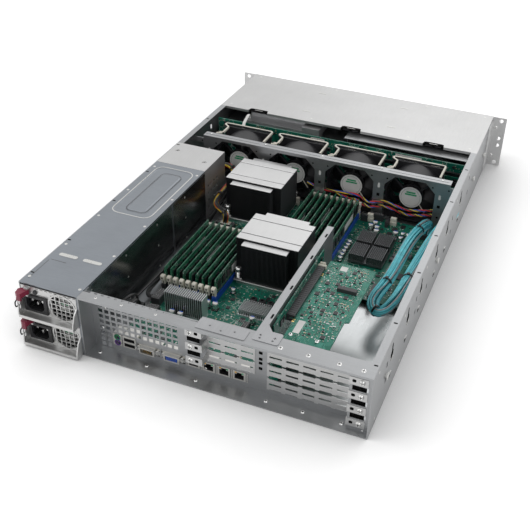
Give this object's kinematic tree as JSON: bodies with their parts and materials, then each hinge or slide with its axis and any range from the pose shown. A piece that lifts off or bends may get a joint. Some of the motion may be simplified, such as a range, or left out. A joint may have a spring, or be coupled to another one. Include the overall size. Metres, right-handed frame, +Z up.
{
  "type": "2u rack server",
  "caption": "Rack server with its rear cover off, showing hot-swap drives, fans and power supplies, a two-processor board, memory banks, riser and card.",
  "frame": {"origin": "centre of the underside of the chassis floor", "axes": "+Z up; +Y towards the rear, where the power supplies and sockets are; the drive bays and rack ears are at -Y; +X to the right as seen from the front, on the power supplies' side"},
  "size_m": [0.4826, 0.7594, 0.0888],
  "materials": {
    "chassis_steel": "zinc-plated sheet, satin",
    "cover_steel": "pale plated sheet, satin",
    "cage_steel": "zinc-plated sheet, bluish satin",
    "supply_case": "pale plated case",
    "ear_metal": "satin grey",
    "black_plastic": "moulded black",
    "carrier_body": "black carrier round a cast drive",
    "lever_plastic": "moulded dark grey",
    "burgundy_plastic": "moulded burgundy",
    "black_wire": "black coated wire",
    "board_green": "green solder mask",
    "module_green": "green solder mask",
    "component_dark": "moulded packages",
    "port_metal": "tin-plated shells",
    "fin_aluminium": "mill finish",
    "mount_steel": "plated steel",
    "socket_plastic": "moulded black",
    "ivory_plastic": "moulded ivory",
    "teal_cable": "satin jackets",
    "black_cable": "satin jackets",
    "drive_sleeve": "plated sheet",
    "button_plastic": "moulded"
  },
  "bodies": {
    "chassis": {"chassis_pan": "chassis_steel", "drive_bay_cover": "cover_steel", "rack_ears": "ear_metal", "rear_wall": "chassis_steel", "slot_covers": "cover_steel", "psu_cage": "cage_steel", "power_distributor": "cover_steel", "fan_wall": "chassis_steel", "drive_cage": "chassis_steel", "drive_backplane": "board_green", "optical_drive": "drive_sleeve", "motherboard": "board_green", "board_components": "component_dark", "port_connectors": "port_metal", "cpu_heatsinks": "fin_aluminium", "heatsink_mounts": "mount_steel", "memory_sockets": "socket_plastic", "memory_latches": "ivory_plastic", "memory_modules": "module_green", "chipset_heatsinks": "fin_aluminium", "riser_bracket": "cover_steel", "riser_card": "board_green", "expansion_card": "board_green", "data_cables": "teal_cable", "wire_harness": "black_cable"},
    "optical_tray": {"optical_tray": "component_dark"},
    "power_button": {"power_button": "button_plastic"},
    "reset_button": {"reset_button": "button_plastic"},
    "psu_1": {"psu_1_module": "supply_case"},
    "psu_1_fan": {"psu_1_fan": "black_plastic"},
    "psu_1_latch": {"psu_1_latch": "burgundy_plastic"},
    "psu_1_bail": {"psu_1_bail": "black_wire"},
    "psu_2": {"psu_2_module": "supply_case"},
    "psu_2_fan": {"psu_2_fan": "black_plastic"},
    "psu_2_latch": {"psu_2_latch": "burgundy_plastic"},
    "psu_2_bail": {"psu_2_bail": "black_wire"},
    "fan_1": {"fan_1_module": "black_plastic"},
    "fan_1_rotor": {"fan_1_rotor": "black_plastic"},
    "fan_2": {"fan_2_module": "black_plastic"},
    "fan_2_rotor": {"fan_2_rotor": "black_plastic"},
    "fan_3": {"fan_3_module": "black_plastic"},
    "fan_3_rotor": {"fan_3_rotor": "black_plastic"},
    "fan_4": {"fan_4_module": "black_plastic"},
    "fan_4_rotor": {"fan_4_rotor": "black_plastic"},
    "carrier_1": {"carrier_1": "carrier_body"},
    "carrier_1_lever": {"carrier_1_lever": "lever_plastic"},
    "carrier_2": {"carrier_2": "carrier_body"},
    "carrier_2_lever": {"carrier_2_lever": "lever_plastic"},
    "carrier_3": {"carrier_3": "carrier_body"},
    "carrier_3_lever": {"carrier_3_lever": "lever_plastic"},
    "carrier_4": {"carrier_4": "carrier_body"},
    "carrier_4_lever": {"carrier_4_lever": "lever_plastic"},
    "carrier_5": {"carrier_5": "carrier_body"},
    "carrier_5_lever": {"carrier_5_lever": "lever_plastic"},
    "carrier_6": {"carrier_6": "carrier_body"},
    "carrier_6_lever": {"carrier_6_lever": "lever_plastic"},
    "carrier_7": {"carrier_7": "carrier_body"},
    "carrier_7_lever": {"carrier_7_lever": "lever_plastic"},
    "carrier_8": {"carrier_8": "carrier_body"},
    "carrier_8_lever": {"carrier_8_lever": "lever_plastic"}
  },
  "joints": [
    {"name": "psu_1_slide", "type": "slide", "parent": "chassis", "child": "psu_1", "axis": [0, 1, 0], "range_m": [0, 0.3]},
    {"name": "psu_1_fan_spin", "type": "hinge", "parent": "psu_1", "child": "psu_1_fan", "pos_m": [0.1607, 0.341, 0.02175], "axis": [0, 1, 0], "continuous": true},
    {"name": "psu_1_latch_press", "type": "hinge", "parent": "psu_1", "child": "psu_1_latch", "pos_m": [0.2067, 0.3594, 0.036], "axis": [0, 0, 1], "range_deg": [0, 15], "stiffness_Nm_per_rad": 0.3},
    {"name": "psu_1_bail_swing", "type": "hinge", "parent": "psu_1", "child": "psu_1_bail", "pos_m": [0.2182, 0.36, 0.0195], "axis": [0, 0, -1], "range_deg": [0, 70]},
    {"name": "psu_2_slide", "type": "slide", "parent": "chassis", "child": "psu_2", "axis": [0, 1, 0], "range_m": [0, 0.3]},
    {"name": "psu_2_fan_spin", "type": "hinge", "parent": "psu_2", "child": "psu_2_fan", "pos_m": [0.1607, 0.341, 0.06415], "axis": [0, 1, 0], "continuous": true},
    {"name": "psu_2_latch_press", "type": "hinge", "parent": "psu_2", "child": "psu_2_latch", "pos_m": [0.2067, 0.3594, 0.0784], "axis": [0, 0, 1], "range_deg": [0, 15], "stiffness_Nm_per_rad": 0.3},
    {"name": "psu_2_bail_swing", "type": "hinge", "parent": "psu_2", "child": "psu_2_bail", "pos_m": [0.2182, 0.36, 0.0619], "axis": [0, 0, -1], "range_deg": [0, 70]},
    {"name": "fan_1_lift", "type": "slide", "parent": "chassis", "child": "fan_1", "axis": [0, 0, 1], "range_m": [0, 0.09]},
    {"name": "fan_1_spin", "type": "hinge", "parent": "fan_1", "child": "fan_1_rotor", "pos_m": [0.1385, -0.1203, 0.046], "axis": [0, 1, 0], "continuous": true},
    {"name": "fan_2_lift", "type": "slide", "parent": "chassis", "child": "fan_2", "axis": [0, 0, 1], "range_m": [0, 0.09]},
    {"name": "fan_2_spin", "type": "hinge", "parent": "fan_2", "child": "fan_2_rotor", "pos_m": [0.0445, -0.1203, 0.046], "axis": [0, 1, 0], "continuous": true},
    {"name": "fan_3_lift", "type": "slide", "parent": "chassis", "child": "fan_3", "axis": [0, 0, 1], "range_m": [0, 0.09]},
    {"name": "fan_3_spin", "type": "hinge", "parent": "fan_3", "child": "fan_3_rotor", "pos_m": [-0.0495, -0.1203, 0.046], "axis": [0, 1, 0], "continuous": true},
    {"name": "fan_4_lift", "type": "slide", "parent": "chassis", "child": "fan_4", "axis": [0, 0, 1], "range_m": [0, 0.09]},
    {"name": "fan_4_spin", "type": "hinge", "parent": "fan_4", "child": "fan_4_rotor", "pos_m": [-0.1435, -0.1203, 0.046], "axis": [0, 1, 0], "continuous": true},
    {"name": "carrier_1_slide", "type": "slide", "parent": "chassis", "child": "carrier_1", "axis": [0, -1, 0], "range_m": [0, 0.16]},
    {"name": "carrier_1_lever_swing", "type": "hinge", "parent": "carrier_1", "child": "carrier_1_lever", "pos_m": [0.11125, -0.3624, 0.0145], "axis": [0, 0, -1], "range_deg": [0, 60]},
    {"name": "carrier_2_slide", "type": "slide", "parent": "chassis", "child": "carrier_2", "axis": [0, -1, 0], "range_m": [0, 0.16]},
    {"name": "carrier_2_lever_swing", "type": "hinge", "parent": "carrier_2", "child": "carrier_2_lever", "pos_m": [0.00475, -0.3624, 0.0145], "axis": [0, 0, -1], "range_deg": [0, 60]},
    {"name": "carrier_3_slide", "type": "slide", "parent": "chassis", "child": "carrier_3", "axis": [0, -1, 0], "range_m": [0, 0.16]},
    {"name": "carrier_3_lever_swing", "type": "hinge", "parent": "carrier_3", "child": "carrier_3_lever", "pos_m": [-0.10175, -0.3624, 0.0145], "axis": [0, 0, -1], "range_deg": [0, 60]},
    {"name": "carrier_4_slide", "type": "slide", "parent": "chassis", "child": "carrier_4", "axis": [0, -1, 0], "range_m": [0, 0.16]},
    {"name": "carrier_4_lever_swing", "type": "hinge", "parent": "carrier_4", "child": "carrier_4_lever", "pos_m": [-0.20825, -0.3624, 0.0145], "axis": [0, 0, -1], "range_deg": [0, 60]},
    {"name": "carrier_5_slide", "type": "slide", "parent": "chassis", "child": "carrier_5", "axis": [0, -1, 0], "range_m": [0, 0.16]},
    {"name": "carrier_5_lever_swing", "type": "hinge", "parent": "carrier_5", "child": "carrier_5_lever", "pos_m": [0.11125, -0.3624, 0.0425], "axis": [0, 0, -1], "range_deg": [0, 60]},
    {"name": "carrier_6_slide", "type": "slide", "parent": "chassis", "child": "carrier_6", "axis": [0, -1, 0], "range_m": [0, 0.16]},
    {"name": "carrier_6_lever_swing", "type": "hinge", "parent": "carrier_6", "child": "carrier_6_lever", "pos_m": [0.00475, -0.3624, 0.0425], "axis": [0, 0, -1], "range_deg": [0, 60]},
    {"name": "carrier_7_slide", "type": "slide", "parent": "chassis", "child": "carrier_7", "axis": [0, -1, 0], "range_m": [0, 0.16]},
    {"name": "carrier_7_lever_swing", "type": "hinge", "parent": "carrier_7", "child": "carrier_7_lever", "pos_m": [-0.10175, -0.3624, 0.0425], "axis": [0, 0, -1], "range_deg": [0, 60]},
    {"name": "carrier_8_slide", "type": "slide", "parent": "chassis", "child": "carrier_8", "axis": [0, -1, 0], "range_m": [0, 0.16]},
    {"name": "carrier_8_lever_swing", "type": "hinge", "parent": "carrier_8", "child": "carrier_8_lever", "pos_m": [-0.20825, -0.3624, 0.0425], "axis": [0, 0, -1], "range_deg": [0, 60]},
    {"name": "optical_tray_slide", "type": "slide", "parent": "chassis", "child": "optical_tray", "axis": [0, -1, 0], "range_m": [0, 0.118]},
    {"name": "power_button_press", "type": "slide", "parent": "chassis", "child": "power_button", "axis": [0, 1, 0], "range_m": [0, 0.0012], "stiffness_N_per_m": 1500, "springref_m": -0.001},
    {"name": "reset_button_press", "type": "slide", "parent": "chassis", "child": "reset_button", "axis": [0, 1, 0], "range_m": [0, 0.0012], "stiffness_N_per_m": 1500, "springref_m": -0.001}
  ]
}
